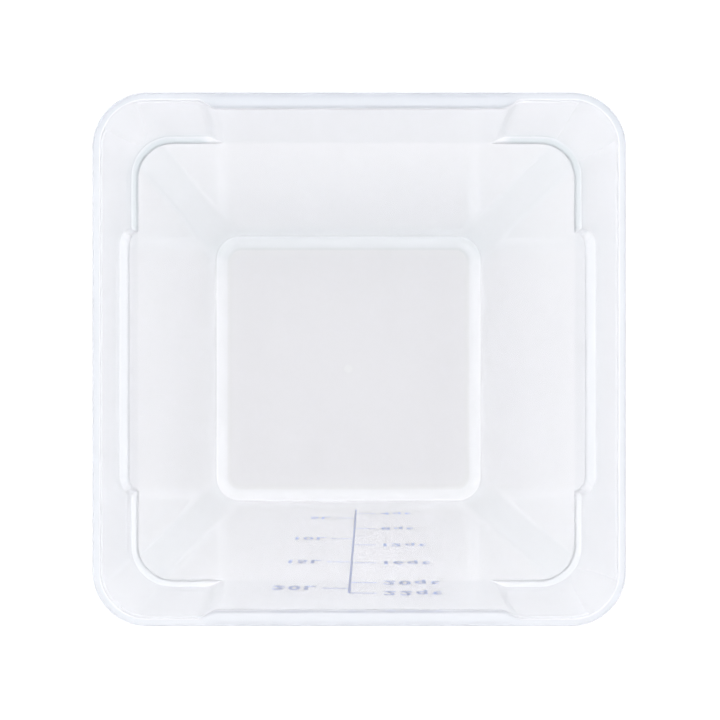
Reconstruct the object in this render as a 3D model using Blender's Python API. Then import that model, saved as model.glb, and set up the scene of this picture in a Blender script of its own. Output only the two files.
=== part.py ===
"""Square food storage tub, open at the top, with a printed scale on the outside of its front wall.

The tub is one moulding: a tapered square body with round corners and a round foot, a collar pushed out
round the top, a flange with a short lip, and a foot ring below. The collar is left out in the middle of
the front and back walls, and it ends higher up in the middle of the left and right walls, where it is
the hand grip. The scale is a bar with a tick at each volume, and a label of separate printed letters
beside each tick.

Metres, +Z up. The front wall faces -Y, and the origin is the middle of the underside.
"""
import math

import bmesh
import bpy
from mathutils import Matrix, Vector

# Overall sizes
HEIGHT = 0.400
RIM_WIDTH = 0.285
RIM_CORNER = 0.0296

# Rim: a flat flange with a lip that hangs from its outer edge, and a slot behind the lip
FLANGE = 0.0025
LIP = 0.0015
LIP_DROP = 0.008
LIP_SLOT_LEAST = 0.0003
RIM_EDGE = 0.001

# Body: its inside width is between the flat walls at the floor
FLOOR_WIDTH = 0.2232
WALL = 0.0025
FLOOR = 0.003
FLOOR_FILLET = 0.0083

# Foot: the underside is hollowed inside a flat ring
FOOT_RING = 0.0126
FOOT_HOLLOW_DEPTH = 0.001
FOOT_HOLLOW_SLOPE = 0.0012
FOOT_HOLLOW_CORNER = 0.006

# Collar: how far it stands out from the body, at the rim and at the shoulder where it ends
COLLAR_STEP_TOP = 0.005
COLLAR_STEP_LOW = 0.0036
SHOULDER_DEPTH = 0.073
SHOULDER_RISE = 0.0036

# Panels: the middle of the front and back walls, without a collar, and how softly it fades in there
PANEL_WIDTH = 0.163
PANEL_BLEND = 0.013

# Hand grips: the middle of the left and right walls, where the collar ends higher up
GRIP_LENGTH = 0.150
GRIP_BLEND = 0.006
GRIP_DEPTH = 0.0455
GRIP_RISE = 0.008

# Print: a volume scale. Its marks are shares of what the tub holds at the top mark, in each unit
TOP_MARK_DEPTH = 0.04136
TOP_QUARTS = 22
TOP_LITRES = 20.82
QUART_MARKS = (4, 8, 12, 16, 20, 22)
LITRE_MARKS = (5, 10, 15, 20)
BAR_WIDTH = 0.0015
BAR_TAIL = 0.020
TICK_LENGTH = 0.015
TICK_WIDTH = 0.0008
LABEL_GAP = 0.0038
LETTER_HEIGHT = 0.0103
LETTER_SPACE = 0.0022
LETTER_LEAST_WIDTH = 0.0046
INK = 0.0003
INK_CLEARANCE = 0.0003
PRINT_LEAN = math.radians(1.95)

# Fineness of the mesh
CORNER_STEPS = 6
FILLET_STEPS = 4
BLEND_STEPS = 4
LETTER_CURVE_STEPS = 2
FILL_SLICES = 350
WELD = 1e-6
SMOOTH_BELOW = math.radians(35)

# The body's inner face at the rim lies inside the lip, its slot, the wall and the collar's step
RIM_TO_BODY = LIP + LIP_SLOT_LEAST + WALL + COLLAR_STEP_TOP
TOP_WIDTH = RIM_WIDTH - 2 * RIM_TO_BODY
BODY_CORNER = RIM_CORNER - RIM_TO_BODY
FLOOR_TOP = FOOT_HOLLOW_DEPTH + FLOOR
TAPER = (TOP_WIDTH - FLOOR_WIDTH) / 2 / (HEIGHT - FLOOR_TOP)
STRAIGHT_TOP = TOP_WIDTH / 2 - BODY_CORNER


def mix(low, high, share):
    return low + (high - low) * share


def smooth_step(value, middle, span):
    """Climbs smoothly from 0 to 1 over a span round its middle."""
    share = min(max((value - middle) / span + 0.5, 0), 1)
    return share * share * (3 - 2 * share)


def spread(middle, span):
    """Evenly spaced values over a span round its middle, lowest first."""
    return [middle + span * (step / BLEND_STEPS - 0.5) for step in range(BLEND_STEPS + 1)]


def is_panel_wall(wall):
    """Walls 0 and 2 are the front and back, with the panels. Walls 1 and 3 have the grips."""
    return wall % 2 == 0


def stations():
    """Places round the tub: (wall, place along it at the rim, share of the next corner's quarter turn)."""
    places = []
    for wall in range(4):
        if is_panel_wall(wall):
            half = spread(PANEL_WIDTH / 2, PANEL_BLEND)
        else:
            half = spread(GRIP_LENGTH / 2, GRIP_BLEND)
        half.append(STRAIGHT_TOP)
        across = [-place for place in reversed(half)] + [0] + half
        places += [(wall, place, 0) for place in across]
        places += [(wall, STRAIGHT_TOP, step / CORNER_STEPS) for step in range(1, CORNER_STEPS)]
    return places


STATIONS = stations()


def body_half(height):
    """Half the inside width between the flat walls, at a height above the underside."""
    return FLOOR_WIDTH / 2 + TAPER * (height - FLOOR_TOP)


def outline(station, half, corner):
    """A rounded square's point at a station, and its direction outwards."""
    wall, place, turn = station
    straight = half - corner
    angle = turn * math.pi / 2
    outwards = Vector((math.sin(angle), -math.cos(angle), 0))
    point = Vector((place / STRAIGHT_TOP * straight, -straight, 0)) + outwards * corner
    round_the_tub = Matrix.Rotation(wall * math.pi / 2, 3, "Z")
    return round_the_tub @ point, round_the_tub @ outwards


def collar_share(station, depth):
    """How much of the collar there is at a station and a depth below the rim, from 0 to 1."""
    wall, place, _ = station
    above_shoulder = 1 - smooth_step(depth, SHOULDER_DEPTH, SHOULDER_RISE)
    if is_panel_wall(wall):
        return above_shoulder * smooth_step(abs(place), PANEL_WIDTH / 2, PANEL_BLEND)
    in_grip = 1 - smooth_step(abs(place), GRIP_LENGTH / 2, GRIP_BLEND)
    return above_shoulder * (1 - in_grip * smooth_step(depth, GRIP_DEPTH, GRIP_RISE))


def collar_out(depth):
    """How far the whole collar stands out from the body's wall at a depth below the rim."""
    return mix(COLLAR_STEP_TOP, COLLAR_STEP_LOW, depth / SHOULDER_DEPTH)


def wall_point(station, height, out, ledge_drop):
    """A point on the wall at a height, moved out from the inside face by a distance."""
    point, outwards = outline(station, body_half(height), BODY_CORNER)
    depth = HEIGHT - height
    out += collar_out(depth) * collar_share(station, depth - ledge_drop)
    return point + outwards * out + Vector((0, 0, height))


def wall_ring(height, out, ledge_drop=0):
    return [wall_point(station, height, out, ledge_drop) for station in STATIONS]


def fillet_rings(radius, foot, out):
    """Rings round a fillet, from the foot that it stands on up to the wall."""
    rings = []
    for step in range(FILLET_STEPS + 1):
        angle = step / FILLET_STEPS * math.pi / 2
        rings.append(wall_ring(foot + radius * (1 - math.cos(angle)), out - radius * (1 - math.sin(angle))))
    return rings


def rim_point(station, depth, inset):
    point, _ = outline(station, RIM_WIDTH / 2 - inset, RIM_CORNER - inset)
    return point + Vector((0, 0, HEIGHT - depth))


def rim_ring(depth, inset):
    return [rim_point(station, depth, inset) for station in STATIONS]


def slot_depth(station):
    """Depth of the flange's underside: where the collar fills the slot behind the lip, the lip's edge."""
    return mix(FLANGE, LIP_DROP, collar_share(station, FLANGE))


def slot_rings():
    """The underside of the flange, from the lip's inner face to the wall's outer face."""
    at_lip = [rim_point(station, slot_depth(station), LIP) for station in STATIONS]
    at_wall = [wall_point(station, HEIGHT - slot_depth(station), WALL, 0) for station in STATIONS]
    return [at_lip, at_wall]


def hollow_ring(inset, height):
    """A ring of the hollow in the underside, set in from the inner edge of the foot ring."""
    half = body_half(0) - FLOOR_FILLET - FOOT_RING - inset
    lift = Vector((0, 0, height))
    return [outline(station, half, FOOT_HOLLOW_CORNER)[0] + lift for station in STATIONS]


def ledge_depths():
    """Depths below the rim of the rings through the grip's ledge and the shoulder, highest first."""
    between = (GRIP_DEPTH + SHOULDER_DEPTH) / 2
    return spread(GRIP_DEPTH, GRIP_RISE) + [between] + spread(SHOULDER_DEPTH, SHOULDER_RISE)


def tub_rings():
    """All rings of the tub's skin, from the inner floor up, over the rim and down to the foot."""
    inner = [wall_ring(HEIGHT - depth, 0) for depth in reversed(ledge_depths())]
    top_edge = [wall_ring(HEIGHT - RIM_EDGE, 0), wall_ring(HEIGHT, RIM_EDGE)]
    rim = [rim_ring(0, RIM_EDGE), rim_ring(RIM_EDGE, 0), rim_ring(LIP_DROP, 0), rim_ring(LIP_DROP, LIP)]
    drop = WALL / 2
    outer = [wall_ring(HEIGHT - depth - drop, WALL, drop) for depth in ledge_depths()]
    foot = list(reversed(fillet_rings(FLOOR_FILLET + WALL, 0, WALL)))
    hollow = [hollow_ring(0, 0), hollow_ring(FOOT_HOLLOW_SLOPE, FOOT_HOLLOW_DEPTH)]
    return fillet_rings(FLOOR_FILLET, FLOOR_TOP, 0) + inner + top_edge + rim + slot_rings() + outer + foot + hollow


def plastic(name, colour, roughness):
    material = bpy.data.materials.new(name)
    material.use_nodes = True
    shader = material.node_tree.nodes["Principled BSDF"]
    shader.inputs["Base Color"].default_value = (*colour, 1)
    shader.inputs["Roughness"].default_value = roughness
    shader.inputs["Metallic"].default_value = 0
    return material


def mesh_from(bm, name):
    bmesh.ops.recalc_face_normals(bm, faces=bm.faces)
    mesh = bpy.data.meshes.new(name)
    bm.to_mesh(mesh)
    bm.free()
    return mesh


def add_object(name, mesh, material, parent=None):
    mesh.materials.append(material)
    new = bpy.data.objects.new(name, mesh)
    new.parent = parent
    bpy.context.scene.collection.objects.link(new)
    return new


def make_tub(material):
    """Wraps a sheet of quads round the rings, joins its side edges and fills its two ends."""
    rings = tub_rings()
    around = len(STATIONS)
    bm = bmesh.new()
    bmesh.ops.create_grid(bm, x_segments=around, y_segments=len(rings) - 1, size=HEIGHT)
    for index, vert in enumerate(bm.verts):
        row, column = divmod(index, around + 1)
        vert.co = rings[row][column % around]
    bmesh.ops.remove_doubles(bm, verts=bm.verts, dist=WELD)
    bmesh.ops.holes_fill(bm, edges=[edge for edge in bm.edges if edge.is_boundary], sides=0)
    mesh = mesh_from(bm, "tub")
    mesh.shade_smooth()
    mesh.set_sharp_from_angle(angle=SMOOTH_BELOW)
    return add_object("tub", mesh, material)


def section_area(height):
    """Area inside the tub at a height."""
    ring = wall_ring(height, 0)
    return sum(a.x * b.y - b.x * a.y for a, b in zip(ring, ring[1:] + ring[:1])) / 2


def fill_heights(shares):
    """Heights to which shares, smallest first, of the volume below the top mark fill the tub."""
    step = (HEIGHT - TOP_MARK_DEPTH - FLOOR_TOP) / FILL_SLICES
    areas = [section_area(FLOOR_TOP + step * (index + 0.5)) for index in range(FILL_SLICES)]
    heights = []
    filled = 0
    index = 0
    for share in shares:
        while index < FILL_SLICES - 1 and filled + areas[index] < share * sum(areas):
            filled += areas[index]
            index += 1
        heights.append(FLOOR_TOP + step * (index + (share * sum(areas) - filled) / areas[index]))
    return heights


def print_marks():
    """Each mark as (height, label, side), side being 1 for the right and -1 for the left."""
    quarts = [(count / TOP_QUARTS, f"{count}qt", 1) for count in QUART_MARKS]
    litres = [(count / TOP_LITRES, f"{count}L", -1) for count in LITRE_MARKS]
    rows = sorted(quarts + litres)
    heights = fill_heights([share for share, _, _ in rows])
    return [(height, label, side) for height, (_, label, side) in zip(heights, rows)]


def print_frame(marks):
    """An empty on the front wall's outer face in the middle of the print, turned by its lean.

    Also gives each mark's place along the wall, measured from there.
    """
    tilt = math.atan(TAPER)
    middle = (marks[0][0] + marks[-1][0]) / 2
    on_wall = Matrix.Translation((0, -body_half(middle) - WALL, middle))
    frame = bpy.data.objects.new("print_frame", None)
    turned = Matrix.Rotation(math.pi / 2 + tilt, 4, "X") @ Matrix.Rotation(PRINT_LEAN, 4, "Z")
    frame.matrix_world = on_wall @ turned
    bpy.context.scene.collection.objects.link(frame)
    places = [((height - middle) / math.cos(tilt), label, side) for height, label, side in marks]
    return frame, places


def scale_side(places, side):
    """The bar's edge on one side with its ticks, as points from the lowest to the highest."""
    edge = side * BAR_WIDTH / 2
    end = edge + side * TICK_LENGTH
    points = [(edge, places[0][0] - BAR_TAIL)]
    for along, _, mark_side in places:
        if mark_side == side:
            low = along - TICK_WIDTH / 2
            high = along + TICK_WIDTH / 2
            points += [(edge, low), (end, low), (end, high), (edge, high)]
    top = places[-1][0] + TICK_WIDTH / 2
    if points[-1][1] < top:
        points.append((edge, top))
    return points


def make_scale(frame, places, ink):
    """The bar and its ticks as one flat outline, raised by the ink's thickness."""
    bm = bmesh.new()
    points = scale_side(places, 1) + list(reversed(scale_side(places, -1)))
    face = bm.faces.new([bm.verts.new((x, y, INK_CLEARANCE)) for x, y in points])
    raised = bmesh.ops.extrude_face_region(bm, geom=[face])["geom"]
    verts = [part for part in raised if isinstance(part, bmesh.types.BMVert)]
    bmesh.ops.translate(bm, verts=verts, vec=(0, 0, INK))
    return add_object("scale_bar", mesh_from(bm, "scale_bar"), ink, frame)


def letter_mesh(letter):
    """One printed letter as a thin plate, its left edge and its baseline at zero."""
    curve = bpy.data.curves.new("letter", "FONT")
    curve.body = letter
    curve.size = LETTER_HEIGHT
    curve.extrude = INK / 2
    curve.resolution_u = LETTER_CURVE_STEPS
    guide = bpy.data.objects.new("letter", curve)
    bpy.context.scene.collection.objects.link(guide)
    bpy.context.view_layer.update()
    mesh = bpy.data.meshes.new_from_object(guide.evaluated_get(bpy.context.evaluated_depsgraph_get()))
    bpy.data.objects.remove(guide)
    left = min(vert.co.x for vert in mesh.vertices)
    mesh.transform(Matrix.Translation((-left, 0, INK / 2)))
    bm = bmesh.new()
    bm.from_mesh(mesh)
    bpy.data.meshes.remove(mesh)
    bmesh.ops.remove_doubles(bm, verts=bm.verts, dist=WELD)
    return mesh_from(bm, f"letter_{letter}")


def make_letters(labels):
    """The mesh and the width of each letter that the labels use, with digits of the letter height."""
    letters = {letter: letter_mesh(letter) for letter in sorted(set("".join(labels)))}
    drawn_height = max(vert.co.y for letter in letters if letter.isdigit() for vert in letters[letter].vertices)
    grow = LETTER_HEIGHT / drawn_height
    widths = {}
    for letter, mesh in letters.items():
        mesh.transform(Matrix.Diagonal((grow, grow, 1, 1)))
        widths[letter] = max(vert.co.x for vert in mesh.vertices)
    return letters, widths


def make_label(frame, mark, letters, widths, ink):
    """One label beside its tick, with one object for each letter."""
    along, label, side = mark
    rooms = [max(widths[letter], LETTER_LEAST_WIDTH) for letter in label]
    near = BAR_WIDTH / 2 + TICK_LENGTH + LABEL_GAP
    whole = sum(rooms) + LETTER_SPACE * (len(label) - 1)
    x = near if side > 0 else -near - whole
    for number, (letter, room) in enumerate(zip(label, rooms), 1):
        piece = add_object(f"label_{label}_{number}", letters[letter].copy(), ink, frame)
        piece.location = (x + (room - widths[letter]) / 2, along - LETTER_HEIGHT / 2, INK_CLEARANCE)
        x += room + LETTER_SPACE


def main():
    for item in list(bpy.data.objects):
        bpy.data.objects.remove(item, do_unlink=True)
    make_tub(plastic("frosted_plastic", (0.86, 0.87, 0.89), 0.4))
    ink = plastic("blue_ink", (0.10, 0.16, 0.42), 0.5)
    frame, places = print_frame(print_marks())
    make_scale(frame, places, ink)
    letters, widths = make_letters([label for _, label, _ in places])
    for mark in places:
        make_label(frame, mark, letters, widths, ink)


main()
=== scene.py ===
# %% [markdown]
# # A square food storage tub
#
# The tub is one moulding in frosted plastic, with a volume scale printed on the outside of its front
# wall. It stands on a white table, and the camera looks straight down into it. This script dresses the
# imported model: a finer skin for the moulding, thin printed ink, the two finishes, the table and the
# light. Everything is in metres, with +Z up and the front wall facing -Y.

# %% Load the frame
import math

import bmesh
import bpy
from mathutils import Matrix, Vector


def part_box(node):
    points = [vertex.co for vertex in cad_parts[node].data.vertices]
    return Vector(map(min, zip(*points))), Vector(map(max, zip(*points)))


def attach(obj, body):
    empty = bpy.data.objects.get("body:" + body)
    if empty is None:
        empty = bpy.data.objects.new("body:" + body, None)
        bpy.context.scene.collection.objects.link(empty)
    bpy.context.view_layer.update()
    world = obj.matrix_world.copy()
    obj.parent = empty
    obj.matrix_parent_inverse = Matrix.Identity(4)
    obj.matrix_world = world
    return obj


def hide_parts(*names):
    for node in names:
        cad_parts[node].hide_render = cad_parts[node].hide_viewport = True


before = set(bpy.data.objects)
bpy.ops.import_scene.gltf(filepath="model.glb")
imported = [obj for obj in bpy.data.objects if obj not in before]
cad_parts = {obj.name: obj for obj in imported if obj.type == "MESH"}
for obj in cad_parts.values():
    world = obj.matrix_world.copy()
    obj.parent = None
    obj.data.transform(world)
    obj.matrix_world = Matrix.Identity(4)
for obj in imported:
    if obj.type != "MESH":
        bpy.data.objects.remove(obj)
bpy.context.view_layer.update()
scene = bpy.context.scene
scene.view_settings.view_transform = "Standard"
print("nodes in the frame:", len(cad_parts))

# %% [markdown]
# ## The camera
#
# A lens that looks straight down sees the floor of the tub around the point below it, and the four walls
# spread out from there. In the photograph that point isn't the middle of the picture, so the picture was
# cropped. Turning the camera would make the walls lean, so the lens is shifted instead, which moves the
# crop and keeps every line where it is.

# %% Camera over the tub
PICTURE_PIXELS = 720
FOCAL_PIXELS = 1229
POINT_BELOW_LENS = Vector((330.3, 384.0))
LENS_OVER_RIM = 0.655
LENS_PLACE = Vector((-0.01546, -0.01316))

tub_low, tub_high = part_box("tub")
HEIGHT = tub_high.z
camera_data = bpy.data.cameras.new("camera")
camera_data.lens = camera_data.sensor_width * FOCAL_PIXELS / PICTURE_PIXELS
camera_data.shift_x = 0.5 - POINT_BELOW_LENS.x / PICTURE_PIXELS
camera_data.shift_y = POINT_BELOW_LENS.y / PICTURE_PIXELS - 0.5
camera = bpy.data.objects.new("camera", camera_data)
camera.location = (*LENS_PLACE, HEIGHT + LENS_OVER_RIM)
scene.collection.objects.link(camera)
scene.camera = camera
print("lens in mm:", round(camera_data.lens, 2))

# %% [markdown]
# ## The table and the light
#
# A product picture like this is taken in a light tent: even white light from all sides. So the world is a
# plain white that is slightly blue, and a little stronger towards the back. There is no lamp, because
# clear plastic would mirror it in the floor and throw its outline on the walls. The table is a white
# sheet. It adds a little light of its own, but only to rays that the camera sees, directly or in a
# reflection or through the plastic, so the background is white and the tub's shadow on it stays. Clear
# walls lie one behind the other in this view, so the light is allowed many bounces.

# %% White table
TABLE_SIZE = 8.0
TABLE_BELOW_FOOT = 0.0002
TABLE_COLOUR = (0.9, 0.9, 0.9, 1)
TABLE_ROUGHNESS = 0.9
TABLE_GLOW = 0.1


def sum_node(tree, operation, *values):
    """A Math node on sockets or plain numbers."""
    node = tree.nodes.new("ShaderNodeMath")
    node.operation = operation
    for number, value in enumerate(values):
        if isinstance(value, bpy.types.NodeSocket):
            tree.links.new(value, node.inputs[number])
        else:
            node.inputs[number].default_value = value
    return node.outputs["Value"]


def seen_by_camera(tree):
    """A value that is 1 for camera, glossy and transmission rays, and 0 for those that light things."""
    path = tree.nodes.new("ShaderNodeLightPath")
    total = path.outputs["Is Camera Ray"]
    for name in ("Is Glossy Ray", "Is Transmission Ray"):
        total = sum_node(tree, "MAXIMUM", total, path.outputs[name])
    return total


def table_material():
    material = bpy.data.materials.new("white_table")
    material.use_nodes = True
    tree = material.node_tree
    shader = tree.nodes["Principled BSDF"]
    shader.inputs["Base Color"].default_value = TABLE_COLOUR
    shader.inputs["Roughness"].default_value = TABLE_ROUGHNESS
    shader.inputs["Specular IOR Level"].default_value = 0
    shader.inputs["Emission Color"].default_value = (1, 1, 1, 1)
    glow = sum_node(tree, "MULTIPLY", seen_by_camera(tree), TABLE_GLOW)
    tree.links.new(glow, shader.inputs["Emission Strength"])
    return material


bm = bmesh.new()
bmesh.ops.create_grid(bm, x_segments=1, y_segments=1, size=TABLE_SIZE / 2)
bmesh.ops.translate(bm, verts=bm.verts, vec=(0, 0, -TABLE_BELOW_FOOT))
table_mesh = bpy.data.meshes.new("table")
bm.to_mesh(table_mesh)
bm.free()
table_mesh.materials.append(table_material())
table = bpy.data.objects.new("table", table_mesh)
scene.collection.objects.link(table)
print("table:", TABLE_SIZE, "m wide")

# %% World
WORLD_COLOUR = (0.98, 0.985, 1.0, 1)
WORLD_STRENGTH = 1.19
WORLD_LEAN = 0.04
LIGHT_BOUNCES = 64

world = bpy.data.worlds.new("light_tent")
scene.world = world
world.use_nodes = True
sky = world.node_tree
background = sky.nodes["Background"]
background.inputs["Color"].default_value = WORLD_COLOUR
direction = sky.nodes.new("ShaderNodeTexCoord")
parts = sky.nodes.new("ShaderNodeSeparateXYZ")
sky.links.new(direction.outputs["Generated"], parts.inputs["Vector"])
strength = sum_node(sky, "MULTIPLY_ADD", parts.outputs["Y"], WORLD_LEAN * WORLD_STRENGTH, WORLD_STRENGTH)
sky.links.new(strength, background.inputs["Strength"])
for kind in ("max", "diffuse", "glossy", "transmission"):
    setattr(scene.cycles, f"{kind}_bounces", LIGHT_BOUNCES)
scene.cycles.blur_glossy = 0
print("light of the world:", WORLD_STRENGTH, "and", WORLD_LEAN, "of it more at the back")

# %% [markdown]
# ## The sizes of the moulding
#
# The outside sizes come from the frame. The others are the moulding's own: the wall is 2.5 mm thick, the
# collar round the top stands out from the body by a few millimetres, and it is left out in the middle of
# the front and back walls and cut short over the hand grips in the middle of the other two.

# %% Sizes of the moulding
MM = 0.001
RIM_WIDTH = tub_high.x - tub_low.x
RIM_CORNER = 29.6 * MM
FLANGE = 2.5 * MM
LIP = 1.5 * MM
LIP_DROP = 8 * MM
LIP_SLOT = 0.3 * MM
RIM_OUTER_EDGE = 1 * MM
RIM_INNER_EDGE = 0.6 * MM
LIP_EDGE = 0.4 * MM
# where the rim's painted shade starts, past the inner edge
RIM_PAINTED_SHADE_START = 0.2 * MM

FLOOR_WIDTH = 223.2 * MM
WALL = 2.5 * MM
FLOOR = 3 * MM
FLOOR_FILLET = 11 * MM
FLOOR_FLAT = 206.6 * MM
FOOT_RING = 12.6 * MM
HOLLOW_DEPTH = 1 * MM
HOLLOW_SLOPE = 1.2 * MM
HOLLOW_CORNER = 6 * MM

COLLAR_STEP_TOP = 5 * MM
COLLAR_STEP_LOW = 3.6 * MM
SHOULDER_DEPTH = 73 * MM
SHOULDER_RISE = 3.4 * MM
PANEL_WIDTH = 163 * MM
PANEL_BLEND = 11 * MM
GRIP_LENGTH = 151 * MM
GRIP_BLEND = 3 * MM
GRIP_ROUNDING = 3
SHOULDER_ROUNDING = 0.8
FLARE = 5 * MM
GRIP_DEPTH = 45.5 * MM
GRIP_RISE = 8 * MM
LEDGE_DROP = 2.5 * MM

CORNER_STEPS = 24
BLEND_STEPS = 14
GRIP_STEPS = 26
FILLET_STEPS = 12
EDGE_STEPS = 8

RIM_TO_BODY = LIP + LIP_SLOT + WALL + COLLAR_STEP_TOP
TOP_WIDTH = RIM_WIDTH - 2 * RIM_TO_BODY
BODY_CORNER = RIM_CORNER - RIM_TO_BODY
FLOOR_TOP = HOLLOW_DEPTH + FLOOR
TAPER = (TOP_WIDTH - FLOOR_WIDTH) / 2 / (HEIGHT - FLOOR_TOP)
STRAIGHT_TOP = TOP_WIDTH / 2 - BODY_CORNER
print("walls lean by", round(math.degrees(math.atan(TAPER)), 2), "degrees")

# %% [markdown]
# ## Places round the tub
#
# The skin of a moulding like this can be drawn as one loop of edges that is extruded again and again: up
# the inside, over the rim and down the outside. Every loop has the same points, so each point keeps one
# place round the tub, here called a station. Flat walls need few stations. They are close together only
# where the collar fades in and where a corner turns.

# %% Stations round the tub
def mix(low, high, share):
    return low + (high - low) * share


def smooth_step(value, middle, span):
    """Climbs smoothly from 0 to 1 over a span round its middle."""
    share = min(max((value - middle) / span + 0.5, 0), 1)
    return share * share * (3 - 2 * share)


def spread(low, high, steps=BLEND_STEPS):
    """Evenly spaced values from low to high, both among them."""
    return [mix(low, high, step / steps) for step in range(steps + 1)]


def is_panel_wall(wall):
    """Walls 0 and 2 are the front and back, with the panels. Walls 1 and 3 have the grips."""
    return wall % 2 == 0


def stations():
    """Every station as (wall, place along it at the rim, share of the next corner's quarter turn)."""
    places = []
    for wall in range(4):
        if is_panel_wall(wall):
            middle, reach = PANEL_WIDTH / 2, PANEL_BLEND * (0.5 + SHOULDER_ROUNDING)
        else:
            middle, reach = GRIP_LENGTH / 2, GRIP_BLEND * (0.5 + GRIP_ROUNDING)
        half = spread(middle - reach, middle + reach + FLARE, GRIP_STEPS)
        half.append(STRAIGHT_TOP)
        across = [-place for place in reversed(half)] + [0] + half
        places += [(wall, place, 0) for place in across]
        places += [(wall, STRAIGHT_TOP, step / CORNER_STEPS) for step in range(1, CORNER_STEPS)]
    return places


STATIONS = stations()
print("stations round the tub:", len(STATIONS))

# %% [markdown]
# ## The shape of one loop
#
# A loop is a rounded square. The collar pushes it out by a share that depends on the station and on the
# depth below the rim: all of it in the corners, none of it in the panels and under the grips.

# %% Points of a loop
def body_half(height):
    """Half the inside width between the flat walls, at a height above the underside."""
    return FLOOR_WIDTH / 2 + TAPER * (height - FLOOR_TOP)


def outline(station, half, corner):
    """A rounded square's point at a station, and its direction outwards."""
    wall, place, turn = station
    straight = half - corner
    angle = turn * math.pi / 2
    outwards = Vector((math.sin(angle), -math.cos(angle), 0))
    point = Vector((place / STRAIGHT_TOP * straight, -straight, 0)) + outwards * corner
    round_the_tub = Matrix.Rotation(wall * math.pi / 2, 3, "Z")
    return round_the_tub @ point, round_the_tub @ outwards


def past_corner(x, y, radius):
    """Distance past the two sides of a rounded corner, and below zero inside it."""
    x += radius
    y += radius
    return math.hypot(max(x, 0), max(y, 0)) + min(max(x, y), 0) - radius


def collar_share(station, depth):
    """How much of the collar there is at a station and a depth below the rim, from 0 to 1."""
    wall, place, _ = station
    below_shoulder = (depth - SHOULDER_DEPTH) / SHOULDER_RISE
    if is_panel_wall(wall):
        half = PANEL_WIDTH / 2 + FLARE * depth / SHOULDER_DEPTH
        in_middle = (half - abs(place)) / PANEL_BLEND
    else:
        half = GRIP_LENGTH / 2 + FLARE * max(depth - GRIP_DEPTH, 0) / (SHOULDER_DEPTH - GRIP_DEPTH)
        past_side = (abs(place) - half) / GRIP_BLEND
        in_middle = -past_corner(past_side, (GRIP_DEPTH - depth) / GRIP_RISE, GRIP_ROUNDING)
    return 1 - smooth_step(past_corner(below_shoulder, in_middle, SHOULDER_ROUNDING), 0, 1)


def wall_loop(height, out=0.0, ledge_drop=0.0):
    """A loop round the wall, moved out from its inside face."""
    depth = HEIGHT - height
    whole_collar = mix(COLLAR_STEP_TOP, COLLAR_STEP_LOW, depth / SHOULDER_DEPTH)
    loop = []
    for station in STATIONS:
        point, outwards = outline(station, body_half(height), BODY_CORNER)
        stand_out = out + whole_collar * collar_share(station, depth - ledge_drop)
        loop.append(point + outwards * stand_out + Vector((0, 0, height)))
    return loop


def rim_loop(inset, depths):
    """A loop round the rim, set in from its outer edge, at one depth for each station."""
    loop = []
    for station, depth in zip(STATIONS, depths):
        point, _ = outline(station, RIM_WIDTH / 2 - inset, RIM_CORNER - inset)
        loop.append(point + Vector((0, 0, HEIGHT - depth)))
    return loop


def square_loop(half, corner, height):
    """A plain rounded square, or a circle where the corner is as large as the half width."""
    return [outline(station, half, corner)[0] + Vector((0, 0, height)) for station in STATIONS]


print("inside width of the floor and the rim in m:", round(FLOOR_WIDTH, 4), round(2 * body_half(HEIGHT), 4))

# %% [markdown]
# ## The run of loops
#
# From the floor the loops climb a fillet and the inside of the wall, roll over the rim, hang down its
# lip, come back up behind it, and go down the outside to the foot. The foot is a flat ring round a
# shallow hollow. In the middle of the hollow is the mark of the gate, where the plastic came into the
# mould: a small round dimple with a stub in it.

# %% Loops from the floor to the gate mark
GATE_RADIUS = 3.4 * MM
GATE_RISE = 0.4 * MM
GATE_STUB_RADIUS = 1.1 * MM


def quarter(steps):
    """Sine and cosine at even steps of a quarter turn."""
    angles = [step / steps * math.pi / 2 for step in range(steps + 1)]
    return [(math.sin(angle), math.cos(angle)) for angle in angles]


def fillet_loops(radius, foot, out):
    """Loops round a fillet, from the foot that it stands on up to the wall."""
    turn = quarter(FILLET_STEPS)
    return [wall_loop(foot + radius * (1 - cos), out - radius * (1 - sin)) for sin, cos in turn]


def ledge_depths():
    """Depths of the loops through the grip's ledge and the shoulder, highest first."""
    shoulder = SHOULDER_DEPTH - SHOULDER_RISE
    grip = spread(GRIP_DEPTH - GRIP_RISE / 2, shoulder - SHOULDER_RISE / 2, GRIP_STEPS)
    return grip + spread(shoulder, SHOULDER_DEPTH + SHOULDER_RISE / 2)


def rim_loops():
    """Over the rim, round its outer edge and round the lower edge of the lip."""
    radius = RIM_INNER_EDGE
    inner = [wall_loop(HEIGHT - radius * (1 - sin), radius * (1 - cos)) for sin, cos in quarter(EDGE_STEPS)]
    inner.append(wall_loop(HEIGHT, radius + RIM_PAINTED_SHADE_START))
    radius = RIM_OUTER_EDGE
    outer = []
    for sin, cos in quarter(EDGE_STEPS):
        outer.append(rim_loop(radius * (1 - sin), [radius * (1 - cos)] * len(STATIONS)))
    lip = []
    for sin, cos in quarter(EDGE_STEPS):
        depths = [LIP_DROP - LIP_EDGE * (1 - sin)] * len(STATIONS)
        lip.append(rim_loop(LIP_EDGE * (1 - cos), depths))
    return inner + outer + lip


def slot_loops():
    """The underside of the flange. Where the collar fills the slot behind the lip, it is the lip's edge."""
    depths = [mix(FLANGE, LIP_DROP, collar_share(station, FLANGE)) for station in STATIONS]
    at_wall = []
    for station, depth in zip(STATIONS, depths):
        point, outwards = outline(station, body_half(HEIGHT - depth), BODY_CORNER)
        collar = mix(COLLAR_STEP_TOP, COLLAR_STEP_LOW, depth / SHOULDER_DEPTH)
        out = WALL + collar * collar_share(station, depth)
        at_wall.append(point + outwards * out + Vector((0, 0, HEIGHT - depth)))
    lip_foot = rim_loop(LIP, [LIP_DROP] * len(STATIONS))
    return [lip_foot, rim_loop(LIP, depths), at_wall]


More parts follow.
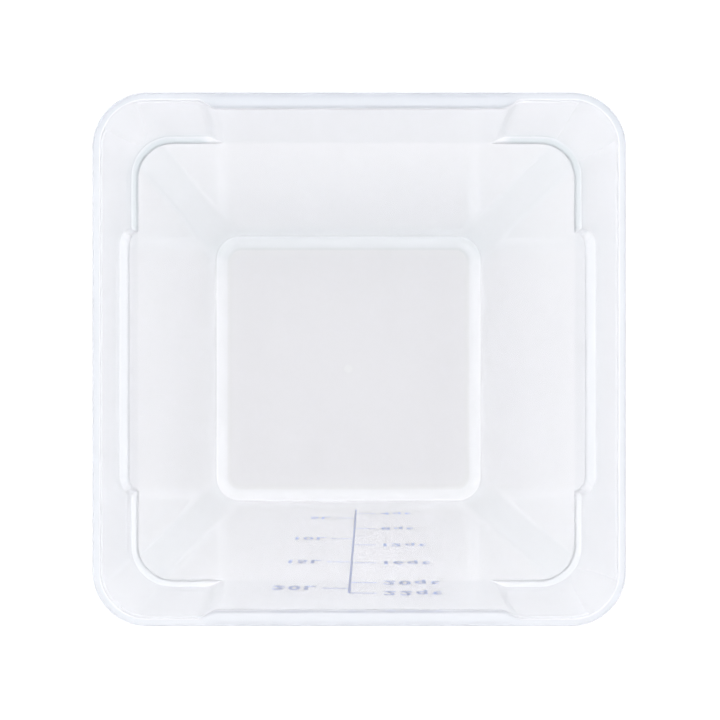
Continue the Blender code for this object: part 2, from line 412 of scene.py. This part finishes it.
def foot_loops():
    """The foot ring, the hollow inside it and the gate mark in its middle."""
    half = body_half(0) - FLOOR_FILLET - FOOT_RING
    return [
        square_loop(half, HOLLOW_CORNER, 0),
        square_loop(half - HOLLOW_SLOPE, HOLLOW_CORNER, HOLLOW_DEPTH),
        square_loop(GATE_RADIUS, GATE_RADIUS, HOLLOW_DEPTH),
        square_loop(GATE_RADIUS - GATE_RISE, GATE_RADIUS - GATE_RISE, HOLLOW_DEPTH + GATE_RISE),
        square_loop(GATE_STUB_RADIUS, GATE_STUB_RADIUS, HOLLOW_DEPTH + GATE_RISE),
        square_loop(GATE_STUB_RADIUS, GATE_STUB_RADIUS, HOLLOW_DEPTH - GATE_RISE),
    ]


def all_loops():
    """Every loop in order, from the foot of the floor's fillet to the stub of the gate mark."""
    inner = [wall_loop(HEIGHT - depth) for depth in reversed(ledge_depths())]
    outer = []
    for depth in ledge_depths():
        outer.append(wall_loop(HEIGHT - depth - LEDGE_DROP, WALL, LEDGE_DROP))
    foot = list(reversed(fillet_loops(FLOOR_FILLET + WALL, 0, WALL)))
    inside = fillet_loops(FLOOR_FILLET, FLOOR_TOP, 0) + inner
    return inside + rim_loops() + slot_loops() + outer + foot + foot_loops()


loops = all_loops()
print("loops from the floor to the gate mark:", len(loops))

# %% [markdown]
# ## Where the plastic looks darker
#
# Light that runs along inside the plastic gets lost where a wall bends or steps, so those places look
# darker than the flat walls: the shoulder at the back, the ledges over the grips, the corners, the fillet
# behind the floor, and the top of the rim. A volume inside the walls could find this, but only with many
# bounces and much grain. So the shade is painted instead: each point of the skin gets two numbers, called
# shades here, from 0 to 1. They are worked out from the point's place, and the material mixes darker
# tints in by them. On the shoulder, the rim and the fillet, this painted shade is stronger at the back.

# %% Painted shades of the edges
WELD = 0.001 * MM
# shares of painted shade on the shoulder's line and on the ledges over the grips
LEDGE_SHARE = 0.3
GRIP_LEDGE_SHARE = 0.12
LEDGE_HALF = 0.6
SHOULDER_LINE_HALF = 0.5
GRIP_LINE = 0.4
GRIP_LINE_HALF = 0.12
GRIP_LINE_SHARE = 0.2
LINE_FADE = 0.24
# painted shade on the fillet behind the floor and on the corners below the shoulder
BACK_FILLET_SHARE = 0.34
COLUMN_SHARE = 0.2
COLUMN_EDGE = 0.14
COLUMN_FADE = 0.14
# the rim's painted shade is full at the back and weaker at the front
FRONT_RIM_SHARE = 0.65
RIM_FADE = 30 * MM


def bump(value, middle, half):
    """A soft bump that is 1 at its middle and 0 at both ends."""
    return max(0, 1 - ((value - middle) / half) ** 2)


def painted_ledge_shade(station, point):
    """Painted shade: the shoulder's dark line, full at the back and fainter at the front, and the ledge over
    a grip.
    """
    wall, place, _ = station
    back = smooth_step(point.y, 0, LINE_FADE)
    along = (HEIGHT - point.z - SHOULDER_DEPTH) / SHOULDER_RISE
    front_line = LEDGE_SHARE * (1 - back) * bump(along, 0, LEDGE_HALF)
    shoulder = max(back * bump(along, 0, SHOULDER_LINE_HALF), front_line)
    if is_panel_wall(wall):
        return shoulder * smooth_step(abs(place), PANEL_WIDTH / 2 + FLARE + PANEL_BLEND / 2, PANEL_BLEND)
    along = (HEIGHT - point.z - GRIP_DEPTH) / GRIP_RISE
    grip = GRIP_LEDGE_SHARE * bump(along, 0, LEDGE_HALF)
    grip += GRIP_LINE_SHARE * bump(along, GRIP_LINE, GRIP_LINE_HALF)
    return mix(grip, shoulder, smooth_step(abs(place), GRIP_LENGTH / 2 + FLARE, GRIP_BLEND))


def painted_edge_shade(station, point):
    """The painted shade of the ledges, of the corners below the shoulder and of the fillet behind the floor.
    """
    fillet_top = FLOOR_TOP + FLOOR_FILLET
    if fillet_top - WELD < point.z < HEIGHT - SHOULDER_DEPTH - SHOULDER_RISE / 2 + WELD:
        turn = station[2]
        return COLUMN_SHARE * smooth_step(min(turn, 1 - turn), COLUMN_EDGE, COLUMN_FADE)
    if FLOOR_TOP + WELD < point.z < fillet_top:
        return BACK_FILLET_SHARE * smooth_step(point.y, FLOOR_FLAT / 2 - FLOOR_FILLET, FLOOR_FILLET)
    return painted_ledge_shade(station, point)


def painted_rim_shade(start, point):
    """Painted shade of the rim: full on the back of the flange and the lip, less at the front, and 0 on the
    inner edge and below.
    """
    across = math.hypot(point.x - start.x, point.y - start.y)
    if point.z < HEIGHT - RIM_OUTER_EDGE - WELD or across < RIM_INNER_EDGE + RIM_PAINTED_SHADE_START / 2:
        return 0
    return mix(FRONT_RIM_SHARE, 1, smooth_step(point.y, RIM_WIDTH / 2 - RIM_FADE, RIM_FADE))


print("shade of the rim from the front to the back:", FRONT_RIM_SHARE, "to 1")

# %% [markdown]
# ## Drawing the skin
#
# A circle with one point for each station is bent into the first loop. Then its edges are extruded once
# for each further loop, and the new points are moved to their places. Each point remembers its station
# in a layer of whole numbers, which the extrusion copies, and keeps its two shades in layers of float
# numbers. The floor and the gate mark are filled last. A solid with bevels would be less work, but the
# loops follow the collar's soft ends exactly, and each bend gets as many of them as it needs.

# %% Skin of the tub
SMOOTH_BELOW = math.radians(40)
LARGE_FACES_FIRST = 100


def finish_mesh(bm, name, material):
    """Turns a bmesh into a smooth shaded object of the scene."""
    bmesh.ops.recalc_face_normals(bm, faces=bm.faces)
    mesh = bpy.data.meshes.new(name)
    bm.to_mesh(mesh)
    bm.free()
    mesh.shade_smooth()
    mesh.set_sharp_from_angle(angle=SMOOTH_BELOW)
    mesh.materials.append(material)
    piece = bpy.data.objects.new(name, mesh)
    scene.collection.objects.link(piece)
    level = piece.modifiers.new("level_flats", "WEIGHTED_NORMAL")
    level.weight = LARGE_FACES_FIRST
    level.keep_sharp = True
    return piece


def draw_skin(loops):
    """The whole closed skin of the moulding as a bmesh."""
    bm = bmesh.new()
    station_layer = bm.verts.layers.int.new("station")
    painted_shade_layer = bm.verts.layers.float.new("painted_edge_shade")
    painted_rim_layer = bm.verts.layers.float.new("painted_rim_shade")
    inner_edge = wall_loop(HEIGHT)
    verts = bmesh.ops.create_circle(bm, segments=len(STATIONS), radius=RIM_WIDTH / 2)["verts"]
    for number, vert in enumerate(verts):
        vert[station_layer] = number
        vert.co = loops[0][number]
    edges = list(bm.edges)
    for loop in loops[1:]:
        drawn = bmesh.ops.extrude_edge_only(bm, edges=edges)["geom"]
        verts = {part for part in drawn if isinstance(part, bmesh.types.BMVert)}
        for vert in verts:
            vert.co = loop[vert[station_layer]]
        edges = [edge for edge in bm.edges if edge.verts[0] in verts and edge.verts[1] in verts]
    for vert in bm.verts:
        number = vert[station_layer]
        vert[painted_shade_layer] = painted_edge_shade(STATIONS[number], vert.co)
        vert[painted_rim_layer] = painted_rim_shade(inner_edge[number], vert.co)
    bmesh.ops.remove_doubles(bm, verts=bm.verts, dist=WELD)
    open_edges = [edge for edge in bm.edges if edge.is_boundary]
    bmesh.ops.holes_fill(bm, edges=open_edges, sides=0)
    return bm


skin = draw_skin(loops)
print("points of the skin:", len(skin.verts))

# %% [markdown]
# ## Building blocks for the finishes
#
# A material is easier to read when its masks have names. Each of the three below is a node group: made
# once, and then placed in a material with its own sizes. Clouds are a soft noise. The square marks out a
# rounded area of the floor, and the height band what lies above a level. They measure in metres from
# the tub's middle and its underside, so no picture and no unwrapping is needed.

# %% Shader groups
def new_group(name, inputs, output):
    """A node group with named numbers going in and one coming out."""
    group = bpy.data.node_groups.new(name, "ShaderNodeTree")
    for label in inputs:
        group.interface.new_socket(label, in_out="INPUT", socket_type="NodeSocketFloat")
    group.interface.new_socket(output, in_out="OUTPUT", socket_type="NodeSocketFloat")
    return group, group.nodes.new("NodeGroupInput"), group.nodes.new("NodeGroupOutput")


def soft_step(tree, value):
    """Climbs smoothly from 0 to 1 while a value goes from -0.5 to 0.5."""
    ramp = tree.nodes.new("ShaderNodeMapRange")
    ramp.interpolation_type = "SMOOTHSTEP"
    ramp.inputs["From Min"].default_value = -0.5
    ramp.inputs["From Max"].default_value = 0.5
    tree.links.new(value, ramp.inputs["Value"])
    return ramp.outputs["Result"]


def cloud_group():
    """Soft clouds between 0 and 1. More detail adds finer ones to them."""
    group, given, result = new_group("clouds", ["Size", "Detail"], "Clouds")
    nodes, link = group.nodes, group.links.new
    place = nodes.new("ShaderNodeTexCoord")
    noise = nodes.new("ShaderNodeTexNoise")
    link(place.outputs["Object"], noise.inputs["Vector"])
    link(sum_node(group, "DIVIDE", 1, given.outputs["Size"]), noise.inputs["Scale"])
    link(given.outputs["Detail"], noise.inputs["Detail"])
    link(noise.outputs["Fac"], result.inputs["Clouds"])
    return group


def object_place(group):
    """The place on the piece, as the sockets X, Y and Z."""
    place = group.nodes.new("ShaderNodeTexCoord")
    parts = group.nodes.new("ShaderNodeSeparateXYZ")
    group.links.new(place.outputs["Object"], parts.inputs["Vector"])
    return parts.outputs


def square_group():
    """1 inside a rounded square round the middle of the piece, and 0 outside it."""
    group, given, result = new_group("square", ["Half", "Corner", "Softness"], "Square")
    place = object_place(group)
    straight = sum_node(group, "SUBTRACT", given.outputs["Half"], given.outputs["Corner"])
    from_middle = [sum_node(group, "ABSOLUTE", place[axis]) for axis in "XY"]
    past = [sum_node(group, "SUBTRACT", value, straight) for value in from_middle]
    squares = [sum_node(group, "POWER", sum_node(group, "MAXIMUM", value, 0), 2) for value in past]
    outside = sum_node(group, "SQRT", sum_node(group, "ADD", *squares))
    inside = sum_node(group, "MINIMUM", sum_node(group, "MAXIMUM", *past), 0)
    from_edge = sum_node(group, "SUBTRACT", sum_node(group, "ADD", outside, inside), given.outputs["Corner"])
    share = sum_node(group, "DIVIDE", from_edge, given.outputs["Softness"])
    inwards = sum_node(group, "MULTIPLY", share, -1)
    group.links.new(soft_step(group, inwards), result.inputs["Square"])
    return group


def height_group():
    """1 above a height over the underside, and 0 below it."""
    group, given, result = new_group("above", ["Height", "Softness"], "Above")
    rise = sum_node(group, "SUBTRACT", object_place(group)["Z"], given.outputs["Height"])
    share = sum_node(group, "DIVIDE", rise, given.outputs["Softness"])
    group.links.new(soft_step(group, share), result.inputs["Above"])
    return group


CLOUDS = cloud_group()
SQUARE = square_group()
HEIGHT_BAND = height_group()
print("shader groups:", [group.name for group in (CLOUDS, SQUARE, HEIGHT_BAND)])

# %% [markdown]
# ## The plastic
#
# The tub is clear plastic with a little milk in it. Most of the light goes through it and is bent, the
# rest is scattered, and its faces have a soft gloss. One Principled shader holds all three: a high
# transmission, the rest of it diffuse, and a low roughness, so the walls mirror the floor where the camera
# looks along them. A scattering volume would be the other way, but in walls this thin it only adds grain.
# The walls have the plastic's own colour. Darker tints on the collar, the floor and the strip round the
# floor are painted shade, a lighter tint on the gate mark is a painted highlight, and the shades of the
# skin mix in more painted shade. The flow of the plastic leaves faint clouds in the gloss, and the mould
# a ripple so fine that it only softens what the faces mirror.

# %% Colour of the plastic and its painted shade
PLASTIC_COLOUR = (0.987, 0.988, 0.997)
# painted shade: the collar is tinted darker than the walls of the same plastic
COLLAR_PAINTED_SHADE_COLOUR = (0.932, 0.936, 0.952)
# painted shade on the top of the rim
RIM_PAINTED_SHADE_COLOUR = (0.745, 0.775, 0.82)
# painted shade on the shoulder's line, the grip ledges, the corners and the back fillet
PAINTED_LINE_SHADE_COLOUR = (0.70, 0.755, 0.775)
# painted shade: the floor is tinted darker, with a darker strip round its edge
FLOOR_PAINTED_SHADE_COLOUR = (0.952, 0.947, 0.952)
FLOOR_EDGE_PAINTED_SHADE_COLOUR = (0.945, 0.942, 0.94)
# painted highlight on the gate mark in the middle of the floor
GATE_PAINTED_HIGHLIGHT_COLOUR = (0.99, 0.99, 0.985)
FLOOR_EDGE = 1.5 * MM
FLOOR_LINE = 4 * MM
GATE_EDGE = GATE_RADIUS / 2
COLLAR_BAND = 6 * MM

FLOOR_HALF = FLOOR_FLAT / 2
# zones of painted shade and painted highlight: the floor's edge, the floor, the gate mark and the collar
PAINTED_SHADE_AND_HIGHLIGHT_ZONES = [
    (SQUARE, {"Half": FLOOR_HALF, "Corner": FLOOR_FILLET, "Softness": FLOOR_EDGE}, FLOOR_EDGE_PAINTED_SHADE_COLOUR),
    (SQUARE, {"Half": FLOOR_HALF - FLOOR_LINE, "Corner": FLOOR_FILLET, "Softness": FLOOR_LINE}, FLOOR_PAINTED_SHADE_COLOUR),
    (SQUARE, {"Half": GATE_RADIUS, "Corner": GATE_RADIUS, "Softness": GATE_EDGE}, GATE_PAINTED_HIGHLIGHT_COLOUR),
    (HEIGHT_BAND, {"Height": HEIGHT - SHOULDER_DEPTH, "Softness": COLLAR_BAND}, COLLAR_PAINTED_SHADE_COLOUR),
]


def add_group(tree, group, **values):
    """Places a group in a material with its own values, and returns its output."""
    node = tree.nodes.new("ShaderNodeGroup")
    node.node_tree = group
    for name, value in values.items():
        node.inputs[name].default_value = value
    return node.outputs[0]


def mix_colour(tree, share, low, high):
    """Mixes two colours, each a socket or plain numbers."""
    node = tree.nodes.new("ShaderNodeMix")
    node.data_type = "RGBA"
    tree.links.new(share, node.inputs["Factor"])
    for name, value in (("A", low), ("B", high)):
        if isinstance(value, bpy.types.NodeSocket):
            tree.links.new(value, node.inputs[name])
        else:
            node.inputs[name].default_value = (*value, 1)
    return node.outputs["Result"]


def plastic_colour_with_painted_shade_and_highlight(tree):
    """The painted shade and highlight zones one over the other, and over them the painted shades of the skin.
    """
    colour = PLASTIC_COLOUR
    for group, values, tint in PAINTED_SHADE_AND_HIGHLIGHT_ZONES:
        colour = mix_colour(tree, add_group(tree, group, **values), colour, tint)
    # the skin's painted shades of the rim and of the edges
    for name, tint in (("painted_rim_shade", RIM_PAINTED_SHADE_COLOUR), ("painted_edge_shade", PAINTED_LINE_SHADE_COLOUR)):
        mask = tree.nodes.new("ShaderNodeAttribute")
        mask.attribute_name = name
        colour = mix_colour(tree, mask.outputs["Fac"], colour, tint)
    return colour


print("colour zones of the plastic:", len(PAINTED_SHADE_AND_HIGHLIGHT_ZONES))

# %% Cloudy plastic
CLEARNESS = 0.7
PLASTIC_IOR = 1.35
PLASTIC_ROUGHNESS = 0.14
ROUGHNESS_SPREAD = 0.2
CLOUD_SIZE = 60 * MM
CLOUD_DETAIL = 3
RIPPLE_SIZE = 7 * MM
RIPPLE_DETAIL = 1
RIPPLE_HEIGHT = 0.015 * MM


def spread_value(tree, value, low, high):
    """Spreads a value between 0 and 1 over a range."""
    node = tree.nodes.new("ShaderNodeMapRange")
    node.inputs["To Min"].default_value = low
    node.inputs["To Max"].default_value = high
    tree.links.new(value, node.inputs["Value"])
    return node.outputs["Result"]


def tub_plastic():
    material = bpy.data.materials.new("frosted_plastic")
    material.use_nodes = True
    tree = material.node_tree
    shader = tree.nodes["Principled BSDF"]
    shader.inputs["Transmission Weight"].default_value = CLEARNESS
    shader.inputs["IOR"].default_value = PLASTIC_IOR
    tree.links.new(plastic_colour_with_painted_shade_and_highlight(tree), shader.inputs["Base Color"])
    clouds = add_group(tree, CLOUDS, Size=CLOUD_SIZE, Detail=CLOUD_DETAIL)
    ends = [PLASTIC_ROUGHNESS * (1 - ROUGHNESS_SPREAD), PLASTIC_ROUGHNESS * (1 + ROUGHNESS_SPREAD)]
    tree.links.new(spread_value(tree, clouds, *ends), shader.inputs["Roughness"])
    ripple = tree.nodes.new("ShaderNodeBump")
    ripple.inputs["Distance"].default_value = RIPPLE_HEIGHT
    waves = add_group(tree, CLOUDS, Size=RIPPLE_SIZE, Detail=RIPPLE_DETAIL)
    tree.links.new(waves, ripple.inputs["Height"])
    tree.links.new(ripple.outputs["Normal"], shader.inputs["Normal"])
    return material


tub = finish_mesh(skin, "tub_moulding", tub_plastic())
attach(tub, "root")
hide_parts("tub")
print("faces of the moulding:", len(tub.data.polygons))

# %% [markdown]
# ## Where the marks are
#
# A volume scale has its marks where that much food fills the tub. The top mark stands for 22 quarts, which
# are 20.82 litres, and every other mark is a share of that. Thin slices of the inside are added up from
# the floor, until their sum reaches each share. The marks are laid out on the front wall's outer face,
# which leans, and the whole print is turned by 2 degrees, as it is in the photograph.

# %% Heights of the marks
TOP_MARK_DEPTH = 41.36 * MM
TOP_QUARTS = 22
TOP_LITRES = 20.82
QUART_MARKS = (4, 8, 12, 16, 20, 22)
LITRE_MARKS = (5, 10, 15, 20)
PRINT_LEAN = math.radians(1.95)
FILL_SLICES = 350


def section_area(height):
    """Area inside the tub at a height."""
    loop = wall_loop(height)
    return sum(a.x * b.y - b.x * a.y for a, b in zip(loop, loop[1:] + loop[:1])) / 2


def fill_heights(shares):
    """Heights to which shares, smallest first, of the volume below the top mark fill the tub."""
    step = (HEIGHT - TOP_MARK_DEPTH - FLOOR_TOP) / FILL_SLICES
    areas = [section_area(FLOOR_TOP + step * (index + 0.5)) for index in range(FILL_SLICES)]
    heights = []
    filled = 0
    index = 0
    for share in shares:
        while index < FILL_SLICES - 1 and filled + areas[index] < share * sum(areas):
            filled += areas[index]
            index += 1
        heights.append(FLOOR_TOP + step * (index + (share * sum(areas) - filled) / areas[index]))
    return heights


def print_marks():
    """Each mark as (height, label, side), side being 1 for the right and -1 for the left."""
    quarts = [(count / TOP_QUARTS, f"{count}qt", 1) for count in QUART_MARKS]
    litres = [(count / TOP_LITRES, f"{count}L", -1) for count in LITRE_MARKS]
    rows = sorted(quarts + litres)
    heights = fill_heights([share for share, _, _ in rows])
    return [(height, label, side) for height, (_, label, side) in zip(heights, rows)]


marks = print_marks()
tilt = math.atan(TAPER)
middle_mark = (marks[0][0] + marks[-1][0]) / 2
on_wall = Matrix.Translation((0, -body_half(middle_mark) - WALL, middle_mark))
print_place = on_wall @ Matrix.Rotation(math.pi / 2 + tilt, 4, "X") @ Matrix.Rotation(PRINT_LEAN, 4, "Z")
places = [((height - middle_mark) / math.cos(tilt), label, side) for height, label, side in marks]
print("heights of the marks in mm:", {label: round(height / MM, 1) for height, label, _ in marks})

# %% [markdown]
# ## The ink
#
# The CAD letters stand a little off the wall, so that every solid is on its own. Real ink is a film that
# wets the plastic, and no air is left between them. That matters here: seen from inside, along the wall,
# an air gap would mirror the light and hide the print. So each film is 0.06 mm thick, and its inner half
# is sunk into the wall's outer face. Film that thin has pinholes, so a fine noise thins its colour.

# %% Material of the ink
INK_COLOUR = (0.03, 0.09, 0.36)
INK_THIN_COLOUR = (0.06, 0.16, 0.46)
INK_ROUGHNESS = 0.5
PINHOLE_SIZE = 0.8 * MM
PINHOLE_DETAIL = 4


def ink():
    material = bpy.data.materials.new("blue_ink")
    material.use_nodes = True
    tree = material.node_tree
    shader = tree.nodes["Principled BSDF"]
    pinholes = add_group(tree, CLOUDS, Size=PINHOLE_SIZE, Detail=PINHOLE_DETAIL)
    tree.links.new(mix_colour(tree, pinholes, INK_COLOUR, INK_THIN_COLOUR), shader.inputs["Base Color"])
    shader.inputs["Roughness"].default_value = INK_ROUGHNESS
    return material


blue = ink()
print("material of the print:", blue.name)

# %% [markdown]
# ## The bar and its ticks
#
# The bar and the ticks touch, so they are one patch of ink. Its edge is drawn as one run of points, up the
# right side and down the left one, and the flat face is extruded to the film's thickness. The ticks are a
# little bolder than in the CAD model: from above they are seen almost along the wall, and finer lines
# would fade in a small picture.

# %% Bar and ticks
BAR_WIDTH = 1.5 * MM
BAR_TAIL = 20 * MM
TICK_LENGTH = 15 * MM
TICK_WIDTH = 1.6 * MM
INK_FILM = 0.06 * MM


def scale_side(side):
    """The bar's edge on one side with its ticks, as points from the lowest to the highest."""
    edge = side * BAR_WIDTH / 2
    end = edge + side * TICK_LENGTH
    points = [(edge, places[0][0] - BAR_TAIL)]
    for along, _, mark_side in places:
        if mark_side == side:
            low = along - TICK_WIDTH / 2
            high = along + TICK_WIDTH / 2
            points += [(edge, low), (end, low), (end, high), (edge, high)]
    top = places[-1][0] + TICK_WIDTH / 2
    if points[-1][1] < top:
        points.append((edge, top))
    return points


def add_print(bm, name, nodes):
    """Lays the flat print on the wall, and puts it in place of its CAD nodes."""
    bmesh.ops.transform(bm, matrix=print_place, verts=bm.verts)
    piece = finish_mesh(bm, name, blue)
    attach(piece, "root")
    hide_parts(*nodes)


bm = bmesh.new()
points = scale_side(1) + list(reversed(scale_side(-1)))
face = bm.faces.new([bm.verts.new((x, y, -INK_FILM / 2)) for x, y in points])
raised = bmesh.ops.extrude_face_region(bm, geom=[face])["geom"]
raised_verts = [part for part in raised if isinstance(part, bmesh.types.BMVert)]
bmesh.ops.translate(bm, verts=raised_verts, vec=(0, 0, INK_FILM))
add_print(bm, "print_scale_bar", ["scale_bar"])
print("ticks on the bar:", len(places))

# %% [markdown]
# ## The labels
#
# A text curve gives each letter its outline, and its extrude gives the film's thickness. Each letter is
# made once, turned into a mesh, and copied into its labels. A narrow digit gets as much room as a wide
# one, so the labels line up as they do on the real scale. The strokes are a little bolder than in the CAD
# model, as the ticks are.

# %% Labels beside the ticks
LABEL_GAP = 3.8 * MM
LETTER_HEIGHT = 10.3 * MM
LETTER_SPACE = 2.2 * MM
LETTER_LEAST_WIDTH = 4.6 * MM
LETTER_CURVE_STEPS = 10
LETTER_BOLDNESS = 0.35 * MM


def letter_mesh(letter):
    """One letter as a thin plate, its left edge and its baseline at zero."""
    curve = bpy.data.curves.new("letter", "FONT")
    curve.body = letter
    curve.size = LETTER_HEIGHT
    curve.extrude = INK_FILM / 2
    curve.offset = LETTER_BOLDNESS
    curve.resolution_u = LETTER_CURVE_STEPS
    guide = bpy.data.objects.new("letter", curve)
    scene.collection.objects.link(guide)
    bpy.context.view_layer.update()
    mesh = bpy.data.meshes.new_from_object(guide.evaluated_get(bpy.context.evaluated_depsgraph_get()))
    bpy.data.objects.remove(guide)
    left = min(vert.co.x for vert in mesh.vertices)
    mesh.transform(Matrix.Translation((-left, 0, 0)))
    return mesh


alphabet = sorted({letter for _, label, _ in places for letter in label})
letters = {letter: letter_mesh(letter) for letter in alphabet}
drawn_height = max(vert.co.y for letter in letters if letter.isdigit() for vert in letters[letter].vertices)
grow = LETTER_HEIGHT / drawn_height
widths = {}
for letter, mesh in letters.items():
    mesh.transform(Matrix.Diagonal((grow, grow, 1, 1)))
    widths[letter] = max(vert.co.x for vert in mesh.vertices)


def make_label(along, label, side):
    """One label beside its tick, its letters one after another from the left."""
    rooms = [max(widths[letter], LETTER_LEAST_WIDTH) for letter in label]
    near = BAR_WIDTH / 2 + TICK_LENGTH + LABEL_GAP
    x = near if side > 0 else -near - sum(rooms) - LETTER_SPACE * (len(label) - 1)
    bm = bmesh.new()
    for letter, room in zip(label, rooms):
        copy = letters[letter].copy()
        copy.transform(Matrix.Translation((x + (room - widths[letter]) / 2, along - LETTER_HEIGHT / 2, 0)))
        bm.from_mesh(copy)
        bpy.data.meshes.remove(copy)
        x += room + LETTER_SPACE
    bmesh.ops.remove_doubles(bm, verts=bm.verts, dist=WELD)
    add_print(bm, f"print_{label}", [f"label_{label}_{number}" for number in range(1, len(label) + 1)])


for along, label, side in places:
    make_label(along, label, side)
for mesh in letters.values():
    bpy.data.meshes.remove(mesh)
print("labels:", [label for _, label, _ in places])
